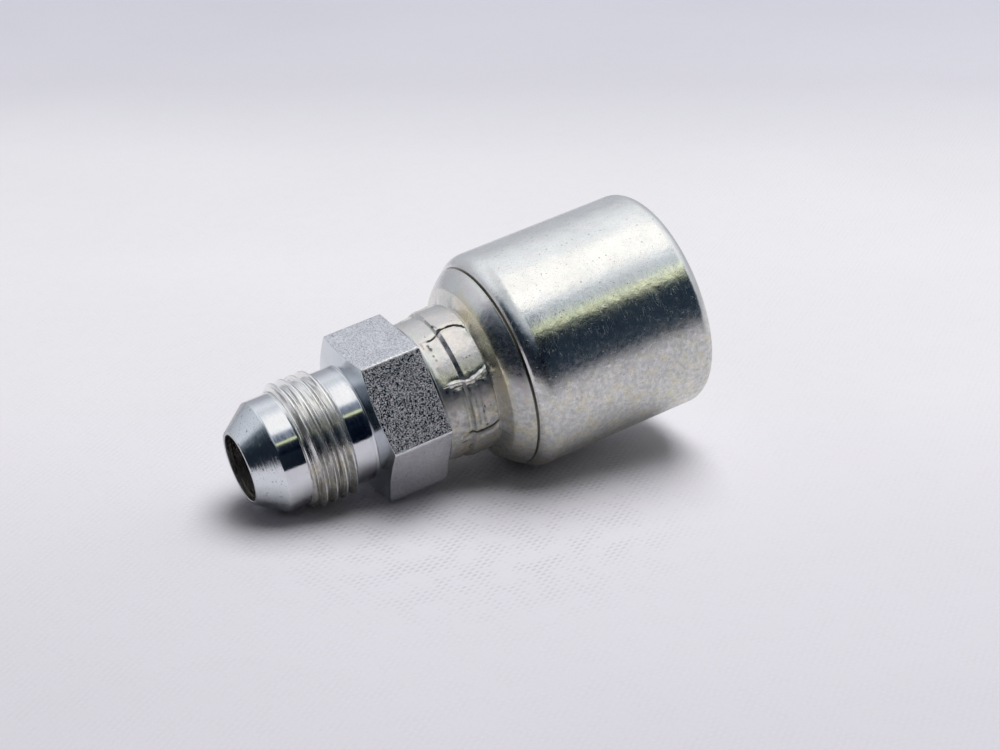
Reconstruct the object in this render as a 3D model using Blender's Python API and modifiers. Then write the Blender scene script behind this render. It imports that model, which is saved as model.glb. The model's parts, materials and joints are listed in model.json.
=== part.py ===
"""Crimp fitting for hydraulic hose, male 37 degree flare, lying as it comes to rest.

It is two pieces of zinc-plated steel. The nipple is turned from one hexagonal bar: flared nose,
thread, wrench hexagon, grooved neck and barbed hose stem, with a bore right through. The crimp
shell is a turned ferrule whose collar eight jaws have pressed into the groove of the neck.

Units are metres and +Z is up. Each piece is turned about its own Z axis, from the nose of the
nipple at z = 0 to the mouth of the shell, and an empty lays the fitting on the floor."""

import math

import bmesh
import bpy
from mathutils import Matrix, Vector

MM = 0.001

# Fineness of the round shapes, and the angle in degrees from which an edge looks sharp
TURN_STEPS = 48
ARC_STEPS = 5
CREASE_ANGLE = 28

# Clearance between the two pieces where the real ones touch
PIECE_GAP = 0.3 * MM

# Bore and flared nose
BORE_DIAMETER = 9.93 * MM
NOSE_RIM_WIDTH = 0.49 * MM
SEAT_ANGLE = 37.0
NOSE_DIAMETER = 16.7 * MM
NOSE_LENGTH = 7.4 * MM

# Thread, sixteen to the inch, and the turned relief behind it
THREAD_DIAMETER = 19.0 * MM
THREAD_PITCH = 25.4 / 16 * MM
THREAD_TURNS = 4
THREAD_DEPTH_SHARE = 0.6134
CREST_SHARE = 0.125
ROOT_SHARE = 0.2
RELIEF_DIAMETER = 17.1 * MM
RELIEF_LENGTH = 3.69 * MM

# Wrench hexagon, and how far the blank and the bar it is cut from reach past it
HEX_ACROSS_FLATS = 22.22 * MM
HEX_LENGTH = 10.0 * MM
HEX_CHAMFER_ANGLE = 12.8
CUT_MARGIN = 1.0 * MM

# Neck of the nipple, with the groove that holds the shell
NECK_DIAMETER = 17.0 * MM
NECK_LENGTH = 8.6 * MM
GROOVE_DIAMETER = 15.4 * MM
GROOVE_START = 2.3 * MM
GROOVE_LENGTH = 3.8 * MM
GROOVE_FLANK = 0.6 * MM

# Hose stem, with barbs whose steep side faces the hexagon
STEM_DIAMETER = 15.9 * MM
STEM_RECESS = 2.1 * MM
STEM_LEAD = 5.2 * MM
BARB_COUNT = 8
BARB_DEPTH = 0.5 * MM
BARB_STEP = 0.25 * MM
STEM_TIP_CHAMFER = 0.8 * MM

# Room for the hose between the stem and the shell, and the wall of the shell outside it
HOSE_WALL = 5.35 * MM
SHELL_WALL = 3.28 * MM

# Barrel of the crimp shell
SHELL_LENGTH = 40.34 * MM
SHELL_STANDOFF = 0.6 * MM
SHOULDER_LENGTH = 2.35 * MM
SHOULDER_DROP = 1.13 * MM
SHOULDER_BULGE = 0.28 * MM
MOUTH_ROUND_LENGTH = 1.84 * MM
MOUTH_ROUND_DROP = 0.8 * MM
MOUTH_ROUND_BULGE = 0.25 * MM

# Flare between the collar and the rim line
FLARE_LENGTH = 4.34 * MM
FLARE_BULGE = 0.45 * MM
FLARE_FILLET = 0.7 * MM
FLARE_FILLET_RISE = 0.4 * MM
RIM_STEP = 0.17 * MM

# Collar, pressed by the jaws into two bands
COLLAR_WALL = 1.75 * MM
COLLAR_EDGE = 0.4 * MM
BAND_START = 3.65 * MM
BAND_STEP_LENGTH = 0.15 * MM
BAND_RISE = 0.45 * MM

# Ridges of metal squeezed up between the jaws
JAW_COUNT = 8
RIDGE_HEIGHT = 0.28 * MM
RIDGE_START = 1.1 * MM
RIDGE_RUN_IN = 0.6 * MM
RIDGE_HALF_ANGLE = 2.6
JAW_FLATTENING = 0.12 * MM

# Hose socket inside the shell, with ring teeth
SOCKET_START = 12.0 * MM
SOCKET_CONE = 3.4 * MM
RIM_BEFORE_SOCKET = 0.35 * MM
TOOTH_DEPTH = 0.5 * MM
TOOTH_COUNT = 7
TOOTH_CREST = 0.5 * MM
TOOTH_MARGIN = 2.0 * MM
MOUTH_CHAMFER = 0.7 * MM

# How the pieces are turned about their axis, from straight down
HEX_ROLL = 32.4
JAW_ROLL = 17.4

# Colour, metallic value and roughness of the plated steel
NIPPLE_FINISH = ((0.70, 0.71, 0.73, 1.0), 1.0, 0.26)
SHELL_FINISH = ((0.72, 0.71, 0.69, 1.0), 1.0, 0.30)

# Places along the axis, measured from the nose
THREAD_END = NOSE_LENGTH + THREAD_TURNS * THREAD_PITCH
HEX_FRONT = THREAD_END + RELIEF_LENGTH
HEX_BACK = HEX_FRONT + HEX_LENGTH
GROOVE_FRONT = HEX_BACK + GROOVE_START
GROOVE_BACK = GROOVE_FRONT + GROOVE_LENGTH
NECK_END = HEX_BACK + NECK_LENGTH
COLLAR_FRONT = HEX_BACK + SHELL_STANDOFF
SHELL_MOUTH = COLLAR_FRONT + SHELL_LENGTH
STEM_END = SHELL_MOUTH - STEM_RECESS
BAND_FRONT = COLLAR_FRONT + BAND_START
SOCKET_FRONT = COLLAR_FRONT + SOCKET_START
RIM_PLACE = SOCKET_FRONT - RIM_BEFORE_SOCKET
FLARE_START = RIM_PLACE - FLARE_LENGTH

# Radii that follow from the sizes above
BORE_RADIUS = BORE_DIAMETER / 2
NOSE_RADIUS = NOSE_DIAMETER / 2
THREAD_RADIUS = THREAD_DIAMETER / 2
THREAD_ROOT_RADIUS = THREAD_RADIUS - THREAD_DEPTH_SHARE * THREAD_PITCH
RELIEF_RADIUS = RELIEF_DIAMETER / 2
HEX_CORNER_RADIUS = HEX_ACROSS_FLATS / math.sqrt(3)
NECK_RADIUS = NECK_DIAMETER / 2
GROOVE_RADIUS = GROOVE_DIAMETER / 2
STEM_RADIUS = STEM_DIAMETER / 2
SOCKET_RADIUS = STEM_RADIUS + HOSE_WALL
SHELL_RADIUS = SOCKET_RADIUS + SHELL_WALL
COLLAR_BORE_RADIUS = NECK_RADIUS + PIECE_GAP
STAKED_RADIUS = GROOVE_RADIUS + PIECE_GAP
COLLAR_RADIUS = COLLAR_BORE_RADIUS + COLLAR_WALL
BAND_RADIUS = COLLAR_RADIUS + BAND_RISE


def clear_scene():
    for thing in list(bpy.data.objects):
        bpy.data.objects.remove(thing, do_unlink=True)


def new_collection(name):
    collection = bpy.data.collections.new(name)
    bpy.context.scene.collection.children.link(collection)
    return collection


def plated_steel(name, finish):
    """A Principled BSDF material of one colour, metallic value and roughness."""
    colour, metallic, roughness = finish
    material = bpy.data.materials.new(name)
    material.use_nodes = True
    shader = material.node_tree.nodes["Principled BSDF"]
    shader.inputs["Base Color"].default_value = colour
    shader.inputs["Metallic"].default_value = metallic
    shader.inputs["Roughness"].default_value = roughness
    material.diffuse_color = colour
    return material


def arc(start, end, bulge, steps=ARC_STEPS):
    """Points of a round arc from start to end, both (z, radius), that stands out by bulge."""
    (z0, r0), (z1, r1) = start, end
    chord = math.hypot(z1 - z0, r1 - r0)
    along = ((z1 - z0) / chord, (r1 - r0) / chord)
    out = (-along[1], along[0])
    radius = (chord**2 / 4 + bulge**2) / (2 * abs(bulge))
    half_angle = 2 * math.atan(2 * abs(bulge) / chord)
    side = math.copysign(1, bulge)
    points = []
    for step in range(steps + 1):
        angle = half_angle * (2 * step / steps - 1)
        run = chord / 2 + radius * math.sin(angle)
        rise = side * radius * (math.cos(angle) - math.cos(half_angle))
        points.append((z0 + along[0] * run + out[0] * rise, r0 + along[1] * run + out[1] * rise))
    return points


def thread_outline():
    """Ring ridges of the thread's own section, one for each turn."""
    flank = THREAD_PITCH * (1 - CREST_SHARE - ROOT_SHARE) / 2
    root = THREAD_PITCH * ROOT_SHARE
    crest = THREAD_PITCH * CREST_SHARE
    points = []
    for turn in range(THREAD_TURNS):
        z = NOSE_LENGTH + turn * THREAD_PITCH + root / 2
        points.append((z, THREAD_ROOT_RADIUS))
        points.append((z + flank, THREAD_RADIUS))
        points.append((z + flank + crest, THREAD_RADIUS))
        points.append((z + 2 * flank + crest, THREAD_ROOT_RADIUS))
    return points


def first_crest():
    """The edge of the thread's first crest that faces the nose."""
    return thread_outline()[1]


def hex_blank_outline():
    """The turned blank of the hexagon, a little wider than its corners, with its front chamfer."""
    blank_radius = HEX_CORNER_RADIUS + CUT_MARGIN
    slope = math.tan(math.radians(HEX_CHAMFER_ANGLE))
    front = (HEX_FRONT, RELIEF_RADIUS)
    edge = (HEX_FRONT + slope * (blank_radius - RELIEF_RADIUS), blank_radius)
    return [front, edge, (HEX_BACK, blank_radius)]


def neck_outline():
    return [
        (HEX_BACK, NECK_RADIUS),
        (GROOVE_FRONT, NECK_RADIUS),
        (GROOVE_FRONT + GROOVE_FLANK, GROOVE_RADIUS),
        (GROOVE_BACK - GROOVE_FLANK, GROOVE_RADIUS),
        (GROOVE_BACK, NECK_RADIUS),
        (NECK_END, NECK_RADIUS),
    ]


def stem_outline():
    """The plain lead, then the barbs, then the chamfered tip."""
    first = NECK_END + STEM_LEAD
    pitch = (STEM_END - STEM_TIP_CHAMFER - first) / BARB_COUNT
    low = STEM_RADIUS - BARB_DEPTH
    points = [(NECK_END, low)]
    for barb in range(BARB_COUNT):
        z = first + barb * pitch
        points.append((z, low))
        points.append((z + BARB_STEP, STEM_RADIUS))
    tip_wall = STEM_RADIUS - BORE_RADIUS - BARB_DEPTH
    points.append((STEM_END - STEM_TIP_CHAMFER, low))
    points.append((STEM_END, low - min(STEM_TIP_CHAMFER, tip_wall / 2)))
    return points


def nipple_outline():
    """The closed outline of the turned nipple: up its outside from the nose, down its bore."""
    rim_radius = BORE_RADIUS + NOSE_RIM_WIDTH
    cone_length = (NOSE_RADIUS - rim_radius) / math.tan(math.radians(SEAT_ANGLE))
    outside = [(0, rim_radius), (cone_length, NOSE_RADIUS), (NOSE_LENGTH, NOSE_RADIUS)]
    outside += thread_outline()
    outside.append((THREAD_END, RELIEF_RADIUS))
    outside += hex_blank_outline() + neck_outline() + stem_outline()
    return outside + [(STEM_END, BORE_RADIUS), (0, BORE_RADIUS)]


def collar_outline():
    """The collar's bands, with the points that the ridges between the jaws rise from."""
    ridge_front = COLLAR_FRONT + RIDGE_START
    band_back = BAND_FRONT + BAND_STEP_LENGTH
    fillet_start = FLARE_START - FLARE_FILLET
    return [
        (COLLAR_FRONT, COLLAR_RADIUS - COLLAR_EDGE),
        (COLLAR_FRONT + COLLAR_EDGE, COLLAR_RADIUS),
        (ridge_front, COLLAR_RADIUS),
        (ridge_front + RIDGE_RUN_IN, COLLAR_RADIUS),
        (BAND_FRONT, COLLAR_RADIUS),
        (band_back, BAND_RADIUS),
        ((band_back + fillet_start) / 2, BAND_RADIUS),
        (fillet_start, BAND_RADIUS),
    ]


def shell_outside():
    """The outside of the shell from the collar to the mouth."""
    rim_radius = SHELL_RADIUS - SHOULDER_DROP
    flare_root = (FLARE_START, BAND_RADIUS + FLARE_FILLET_RISE)
    flare_edge = (RIM_PLACE, rim_radius - RIM_STEP)
    points = collar_outline()
    points += arc(flare_root, flare_edge, FLARE_BULGE)
    points += shoulder_arc()
    mouth_round = (SHELL_MOUTH - MOUTH_ROUND_LENGTH, SHELL_RADIUS)
    mouth_edge = (SHELL_MOUTH, SHELL_RADIUS - MOUTH_ROUND_DROP)
    points += arc(mouth_round, mouth_edge, MOUTH_ROUND_BULGE)
    return points


def shoulder_arc():
    """The rounded shoulder behind the rim line, which the fitting rests on."""
    start = (RIM_PLACE, SHELL_RADIUS - SHOULDER_DROP)
    end = (RIM_PLACE + SHOULDER_LENGTH, SHELL_RADIUS)
    return arc(start, end, SHOULDER_BULGE)


def socket_outline():
    """The inside of the shell from the mouth back to the web, with its ring teeth."""
    root = SOCKET_RADIUS + TOOTH_DEPTH
    first = SHELL_MOUTH - TOOTH_MARGIN
    pitch = (first - SOCKET_FRONT - TOOTH_MARGIN) / TOOTH_COUNT
    points = [(SHELL_MOUTH, SOCKET_RADIUS + MOUTH_CHAMFER)]
    points.append((SHELL_MOUTH - MOUTH_CHAMFER, SOCKET_RADIUS))
    for tooth in range(TOOTH_COUNT):
        z = first - tooth * pitch
        points.append((z, SOCKET_RADIUS))
        points.append((z - (pitch - TOOTH_CREST) / 2, root))
        points.append((z - (pitch - TOOTH_CREST), SOCKET_RADIUS))
    points.append((SOCKET_FRONT, SOCKET_RADIUS))
    points.append((SOCKET_FRONT - SOCKET_CONE, COLLAR_BORE_RADIUS))
    return points


def staked_bore_outline():
    """The bore of the collar, pressed down into the neck's groove, from the web to its front."""
    return [
        (GROOVE_BACK + PIECE_GAP, COLLAR_BORE_RADIUS),
        (GROOVE_BACK - GROOVE_FLANK - PIECE_GAP / 2, STAKED_RADIUS),
        (GROOVE_FRONT + GROOVE_FLANK + PIECE_GAP / 2, STAKED_RADIUS),
        (GROOVE_FRONT - PIECE_GAP, COLLAR_BORE_RADIUS),
        (COLLAR_FRONT, COLLAR_BORE_RADIUS),
    ]


def shell_outline():
    return shell_outside() + socket_outline() + staked_bore_outline()


def turned(name, outline, collection):
    """A solid of revolution about Z, from a closed outline of (z, radius) points."""
    points = [(radius, 0, z) for z, radius in reversed(outline)]
    edges = [(index, (index + 1) % len(points)) for index in range(len(points))]
    mesh = bpy.data.meshes.new(name)
    mesh.from_pydata(points, edges, [])
    piece = bpy.data.objects.new(name, mesh)
    collection.objects.link(piece)
    screw = piece.modifiers.new("turn", "SCREW")
    screw.axis = "Z"
    screw.angle = math.tau
    screw.steps = TURN_STEPS
    screw.render_steps = TURN_STEPS
    screw.use_merge_vertices = True
    screw.merge_threshold = 0.00001
    return piece


def apply_modifiers(piece):
    graph = bpy.context.evaluated_depsgraph_get()
    mesh = bpy.data.meshes.new_from_object(piece.evaluated_get(graph))
    piece.modifiers.clear()
    piece.data = mesh


def shade(piece, material):
    piece.data.materials.clear()
    piece.data.materials.append(material)
    piece.data.shade_smooth()
    piece.data.set_sharp_from_angle(angle=math.radians(CREASE_ANGLE))


def hex_bar(collection):
    """The bar stock that the nipple is turned from, with a corner towards +X."""
    mesh = bpy.data.meshes.new("hex_bar")
    shape = bmesh.new()
    bmesh.ops.create_cone(
        shape,
        cap_ends=True,
        segments=6,
        radius1=HEX_CORNER_RADIUS,
        radius2=HEX_CORNER_RADIUS,
        depth=STEM_END + 2 * CUT_MARGIN,
        matrix=Matrix.Translation((0, 0, STEM_END / 2)) @ Matrix.Rotation(math.pi / 2, 4, "Z"),
    )
    shape.to_mesh(mesh)
    shape.free()
    bar = bpy.data.objects.new("hex_bar", mesh)
    collection.objects.link(bar)
    bar.hide_render = True
    bar.display_type = "WIRE"
    return bar


def make_nipple(parts, cutters):
    nipple = turned("nipple", nipple_outline(), parts)
    milled = nipple.modifiers.new("hexagon", "BOOLEAN")
    milled.operation = "INTERSECT"
    milled.solver = "EXACT"
    milled.object = hex_bar(cutters)
    apply_modifiers(nipple)
    shade(nipple, plated_steel("nipple_steel", NIPPLE_FINISH))
    return nipple


def ramp(value, low, high):
    """0 below low, 1 above high, and straight between."""
    return min(1, max(0, (value - low) / (high - low)))


def press_collar(shell):
    """Moves the collar's outer points as the jaws pressed it: eight faces a little flattened,
    and between them the ridges of metal that squeezed up through the gaps of the jaws."""
    half_face = 180 / JAW_COUNT
    column = 360 / TURN_STEPS
    ridge_front = COLLAR_FRONT + RIDGE_START
    pull = (1 - RIDGE_HALF_ANGLE / column) / (1 - column / half_face)
    for vertex in shell.data.vertices:
        x, y, z = vertex.co
        radius = math.hypot(x, y)
        inside = radius < (COLLAR_BORE_RADIUS + COLLAR_RADIUS) / 2
        if inside or z > RIM_PLACE:
            continue
        angle = math.degrees(math.atan2(y, x))
        offset = (angle + half_face) % (2 * half_face) - half_face
        pressed = 1 - ramp(z, FLARE_START, FLARE_START + FLARE_FILLET)
        drawn_in = offset * pull * (1 - abs(offset) / half_face) * pressed
        angle -= drawn_in
        offset -= drawn_in
        radius -= JAW_FLATTENING * (1 - (offset / half_face) ** 2) * pressed
        peak = max(0, 1 - abs(offset) / RIDGE_HALF_ANGLE)
        rise = ramp(z, ridge_front, ridge_front + RIDGE_RUN_IN)
        radius += RIDGE_HEIGHT * peak * rise * pressed
        turn = math.radians(angle)
        vertex.co = (radius * math.cos(turn), radius * math.sin(turn), z)


def make_shell(parts):
    shell = turned("crimp_shell", shell_outline(), parts)
    apply_modifiers(shell)
    press_collar(shell)
    shade(shell, plated_steel("shell_steel", SHELL_FINISH))
    return shell


def rest_tilt():
    """The slope of the floor against the axis: the line under the first crest and the shoulder."""
    crest_z, crest_radius = first_crest()
    slopes = [(radius - crest_radius) / (z - crest_z) for z, radius in shoulder_arc()]
    return math.atan(max(slopes))


def lay_down(pieces, collection):
    """Lays the fitting on its shoulder and first thread crest, its nose towards -X, and brings
    the middle of its box over the origin and its lowest point to the floor."""
    lying = bpy.data.objects.new("lying_fitting", None)
    collection.objects.link(lying)
    lying.rotation_euler = (0, math.pi / 2 - rest_tilt(), 0)
    for piece in pieces:
        piece.parent = lying
    bpy.context.view_layer.update()
    corners = [piece.matrix_world @ vertex.co for piece in pieces for vertex in piece.data.vertices]
    low = Vector([min(corner[axis] for corner in corners) for axis in range(3)])
    high = Vector([max(corner[axis] for corner in corners) for axis in range(3)])
    middle = (low + high) / 2
    lying.location = (-middle.x, -middle.y, -low.z)


def main():
    clear_scene()
    parts = new_collection("crimp_hose_fitting")
    cutters = new_collection("cutters")
    nipple = make_nipple(parts, cutters)
    nipple.rotation_euler.z = math.radians(HEX_ROLL)
    shell = make_shell(parts)
    shell.rotation_euler.z = math.radians(JAW_ROLL)
    lay_down([nipple, shell], parts)


main()
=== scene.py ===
"""Crimp hose fitting of zinc-plated steel, lying on pale cloth under an overhead softbox.

Both pieces are modelled along their own axis in millimetres: s is the distance from the nose, theta
the angle round the axis in degrees, 0 upwards and 90 towards the camera side, and r the radius."""

import json
import math

import bpy
import numpy as np
from mathutils import Euler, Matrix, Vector, noise


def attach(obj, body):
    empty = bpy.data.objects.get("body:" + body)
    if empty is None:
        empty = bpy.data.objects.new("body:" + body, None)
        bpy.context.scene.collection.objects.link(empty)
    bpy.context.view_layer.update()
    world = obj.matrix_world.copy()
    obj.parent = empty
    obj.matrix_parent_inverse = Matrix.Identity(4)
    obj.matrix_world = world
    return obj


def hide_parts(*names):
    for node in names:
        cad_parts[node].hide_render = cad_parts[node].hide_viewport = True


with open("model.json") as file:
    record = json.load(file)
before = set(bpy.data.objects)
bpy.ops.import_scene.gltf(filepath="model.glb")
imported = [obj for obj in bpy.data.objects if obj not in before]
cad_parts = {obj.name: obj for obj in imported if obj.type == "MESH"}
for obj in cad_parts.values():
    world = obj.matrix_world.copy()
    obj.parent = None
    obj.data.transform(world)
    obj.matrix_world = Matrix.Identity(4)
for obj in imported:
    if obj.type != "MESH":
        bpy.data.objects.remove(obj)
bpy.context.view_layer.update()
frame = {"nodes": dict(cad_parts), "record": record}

# Where the fitting lies, taken from the frame

MM = 0.001
MOUNTS = {mount["name"]: mount for mount in frame["record"]["mounts"]}
AXIS = Vector(MOUNTS["shell_mouth_face"]["axis"]).normalized()
UP = Vector((-AXIS.z, 0, AXIS.x))
SIDE = AXIS.cross(UP)


def nose_centre():
    """The middle of the nipple's end at the nose, which is s = 0."""
    node = frame["nodes"]["nipple"]
    points = [node.matrix_world @ vertex.co for vertex in node.data.vertices]
    front = min(point.dot(AXIS) for point in points)
    rim = [point for point in points if point.dot(AXIS) < front + 0.01 * MM]
    low = Vector([min(point[k] for point in rim) for k in range(3)])
    high = Vector([max(point[k] for point in rim) for k in range(3)])
    return (low + high) / 2


NOSE = nose_centre()

# Sizes in mm, as in the solids

BORE_RADIUS = 4.965
NOSE_RIM_WIDTH = 0.49
SEAT_ANGLE = 37.0
NOSE_RADIUS = 8.35
NOSE_LENGTH = 7.4
THREAD_RADIUS = 9.5
THREAD_PITCH = 25.4 / 16
THREAD_DEPTH = 0.6134 * THREAD_PITCH
THREAD_TURNS = 4
RELIEF_RADIUS = 8.55
RELIEF_LENGTH = 3.69
HEX_APOTHEM = 11.11
HEX_LENGTH = 10.0
HEX_CHAMFER_ANGLE = 12.8
HEX_ROLL = 32.4
NECK_RADIUS = 8.5
NECK_LENGTH = 8.6
GROOVE_RADIUS = 7.7
GROOVE_START = 2.3
GROOVE_LENGTH = 3.8
GROOVE_FLANK = 0.6
STEM_RADIUS = 7.95
STEM_RECESS = 2.1
STEM_LEAD = 5.2
BARB_COUNT = 8
BARB_DEPTH = 0.5
BARB_STEP = 0.25
STEM_TIP_CHAMFER = 0.8
PIECE_GAP = 0.3
SHELL_STANDOFF = 0.6
SHELL_LENGTH = 40.34
HOSE_WALL = 5.35
SOCKET_RADIUS = STEM_RADIUS + HOSE_WALL
SHELL_WALL = 3.28
SKIN_INSET = 0.03  # keeps the round skin inside the box of the faceted solids
SHELL_RADIUS = SOCKET_RADIUS + SHELL_WALL - SKIN_INSET
SHOULDER_LENGTH = 2.35
SHOULDER_DROP = 1.13
SHOULDER_BULGE = 0.28
MOUTH_ROUND_LENGTH = 1.84
MOUTH_ROUND_DROP = 0.8
MOUTH_ROUND_BULGE = 0.25
FLARE_LENGTH = 4.34
RIM_LEAD = 0.35
RIM_STEP = 0.17
COLLAR_BORE_RADIUS = NECK_RADIUS + PIECE_GAP
COLLAR_WALL = 1.75
COLLAR_RADIUS = COLLAR_BORE_RADIUS + COLLAR_WALL
BAND_RISE = 0.45
BAND_RADIUS = COLLAR_RADIUS + BAND_RISE
JAW_COUNT = 8
JAW_ROLL = 17.4
SOCKET_START = 12.0
SOCKET_CONE = 3.4
TOOTH_DEPTH = 0.5
TOOTH_COUNT = 7
TOOTH_CREST = 0.5
TOOTH_MARGIN = 2.0
MOUTH_CHAMFER = 0.7

THREAD_END = NOSE_LENGTH + THREAD_TURNS * THREAD_PITCH
HEX_FRONT = THREAD_END + RELIEF_LENGTH
HEX_BACK = HEX_FRONT + HEX_LENGTH
GROOVE_FRONT = HEX_BACK + GROOVE_START
GROOVE_BACK = GROOVE_FRONT + GROOVE_LENGTH
NECK_END = HEX_BACK + NECK_LENGTH
COLLAR_FRONT = HEX_BACK + SHELL_STANDOFF
SHELL_MOUTH = COLLAR_FRONT + SHELL_LENGTH
STEM_END = SHELL_MOUTH - STEM_RECESS
SOCKET_FRONT = COLLAR_FRONT + SOCKET_START
RIM_PLACE = SOCKET_FRONT - RIM_LEAD
FLARE_START = RIM_PLACE - FLARE_LENGTH

# Meshes: closed outlines turned about the axis, with corners rounded as the real edges are

CORNER_STEPS = 4
CORNER_MARGIN = 0.06  # from a rounding to the ring that keeps the faces beside it flat
CORNER_ROOM = 0.45  # the largest share of a side that a rounding may take


def smooth(value, low, high):
    """0 below low, 1 above high, and an S curve between. Works on arrays."""
    share = np.clip((value - low) / (high - low), 0, 1)
    return share * share * (3 - 2 * share)


def unit(vectors):
    return vectors / np.maximum(np.linalg.norm(vectors, axis=0), 1e-9)


def left_of(vectors):
    return np.stack([-vectors[1], vectors[0]])


def cross2(a, b):
    return a[0] * b[1] - a[1] * b[0]


def round_corner(before, here, after, fillet, steps=CORNER_STEPS, margin=CORNER_MARGIN):
    """The points that replace a corner: an arc, with a support point just outside each end."""
    arrive, leave = unit(here - before), unit(after - here)
    turn = np.arctan2(cross2(arrive, leave), (arrive * leave).sum(axis=0))
    room = CORNER_ROOM * np.minimum(
        np.linalg.norm(here - before, axis=0), np.linalg.norm(after - here, axis=0)
    )
    half = np.maximum(np.abs(turn) / 2, 1e-4)
    cut = np.minimum(fillet * np.tan(half), room)
    radius = cut / np.tan(half)
    side = -1 if turn.mean() > 0 else 1
    centre = here - cut * arrive - side * radius * left_of(arrive)
    reach = np.minimum(cut + margin, room * 1.09)
    points = [here - reach * arrive]
    normal = left_of(arrive)
    for step in range(steps + 1):
        angle = turn * step / steps
        turned = np.cos(angle) * normal + np.sin(angle) * left_of(normal)
        points.append(centre + side * radius * turned)
    points.append(here + reach * leave)
    return points


def trace(corners, columns):
    """Rings of a closed outline. Each corner is (s, r, fillet, zone, step), and s and r may differ
    from column to column. Zone and step say what the stretch after the corner is made of and how
    finely it is divided. Returns s and r as arrays of ring by column, and each ring's zone."""
    spots = []
    for s, r, *_ in corners:
        spot = np.stack([np.broadcast_to(s, columns), np.broadcast_to(r, columns)])
        spots.append(spot.astype(float))
    count = len(corners)
    rings, zones = [], []
    for k, (_, _, fillet, zone, step) in enumerate(corners):
        before, here, after = spots[k - 1], spots[k], spots[(k + 1) % count]
        last_zone = corners[k - 1][3]
        if fillet:
            points = round_corner(before, here, after, fillet)
            middle = len(points) // 2
            rings += points
            zones += [last_zone] * middle + [zone] * (len(points) - middle)
        else:
            rings.append(here)
            zones.append(zone)
        reach = corners[(k + 1) % count][2]
        length = np.linalg.norm(after - here, axis=0).max() - (fillet + reach) * 0.6
        divisions = max(1, int(round(length / step)))
        start = rings[-1]
        stop = after
        if reach:
            stop = round_corner(here, after, spots[(k + 2) % count], reach)[0]
        for division in range(1, divisions):
            rings.append(start + (stop - start) * division / divisions)
            zones.append(zone)
    rings = np.array(rings)
    return rings[:, 0, :], rings[:, 1, :], zones


def arc_points(start, end, bulge, steps):
    """Points of a round arc from start to end, both (s, r), that stands out by bulge."""
    (s0, r0), (s1, r1) = start, end
    chord = math.hypot(s1 - s0, r1 - r0)
    along = ((s1 - s0) / chord, (r1 - r0) / chord)
    out = (-along[1], along[0])
    radius = (chord**2 / 4 + bulge**2) / (2 * bulge)
    half_angle = 2 * math.atan(2 * bulge / chord)
    points = []
    for step in range(steps + 1):
        angle = half_angle * (2 * step / steps - 1)
        run = chord / 2 + radius * math.sin(angle)
        rise = radius * (math.cos(angle) - math.cos(half_angle))
        points.append((s0 + along[0] * run + out[0] * rise, r0 + along[1] * run + out[1] * rise))
    return points


def bent_points(start, start_angle, start_pull, end, end_angle, end_pull, steps):
    """Points on a smooth curve that leaves start and reaches end at given slopes in degrees."""
    a, b = math.radians(start_angle), math.radians(end_angle)
    start, end = np.array(start), np.array(end)
    first = start + start_pull * np.array([math.cos(a), math.sin(a)])
    second = end - end_pull * np.array([math.cos(b), math.sin(b)])
    share = np.linspace(0, 1, steps + 1)[:, None]
    back = 1 - share
    curve = back**3 * start + 3 * back**2 * share * first
    return curve + 3 * back * share**2 * second + share**3 * end


class Skin:
    """Vertices and faces of one piece, in lathe coordinates, with a zone for every face."""

    def __init__(self):
        self.shade_and_soil = []
        self.points = []
        self.faces = []
        self.zones = []
        self.count = 0

    def add_grid(self, s, r, theta, zones, wrap_rings, wrap_columns, shade_and_soil=None):
        """A grid of rings by columns. theta is in degrees and may be one row for every ring. Each
        point may also be given how far its colour is darkened, from 0 to 1: painted shade, and dark
        marks."""
        self.shade_and_soil.append(np.zeros(s.size) if shade_and_soil is None else shade_and_soil.reshape(-1))
        theta = np.radians(np.broadcast_to(theta, s.shape))
        points = np.stack([r * np.cos(theta), r * np.sin(theta), s], axis=-1)
        rings, columns = s.shape
        index = np.arange(rings * columns).reshape(rings, columns) + self.count
        ring_ids = np.arange(rings if wrap_rings else rings - 1)
        column_ids = np.arange(columns if wrap_columns else columns - 1)
        ring_next = (ring_ids + 1) % rings
        column_next = (column_ids + 1) % columns
        quads = np.stack(
            [
                index[np.ix_(ring_ids, column_ids)],
                index[np.ix_(ring_next, column_ids)],
                index[np.ix_(ring_next, column_next)],
                index[np.ix_(ring_ids, column_next)],
            ],
            axis=-1,
        )
        self.points.append(points.reshape(-1, 3))
        self.faces.append(quads.reshape(-1, 4))
        for ring in ring_ids:
            self.zones += [zones[ring]] * len(column_ids)
        self.count += rings * columns

    def build(self, name, materials, crease):
        """Makes the object in world space, with the lathe coordinates in mm kept on its points."""
        local = np.concatenate(self.points)
        faces = np.concatenate(self.faces)
        world = np.array(NOSE) + MM * local @ np.array([UP, SIDE, AXIS])
        mesh = bpy.data.meshes.new(name)
        mesh.from_pydata(world.tolist(), [], faces.tolist())
        names = list(materials)
        for zone in names:
            mesh.materials.append(materials[zone])
        slots = [names.index(zone) for zone in self.zones]
        mesh.polygons.foreach_set("material_index", slots)
        lathe = mesh.attributes.new("lathe", "FLOAT_VECTOR", "POINT")
        lathe.data.foreach_set("vector", local.ravel())
        shade_and_soil = mesh.attributes.new("shade_and_soil", "FLOAT", "POINT")
        shade_and_soil.data.foreach_set("value", np.concatenate(self.shade_and_soil))
        mesh.shade_smooth()
        mesh.set_sharp_from_angle(angle=math.radians(crease))
        mesh.update()
        return add_object(name, mesh)


def add_object(name, data):
    """Puts a mesh, light or camera in the scene."""
    thing = bpy.data.objects.new(name, data)
    bpy.context.scene.collection.objects.link(thing)
    return thing


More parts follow.
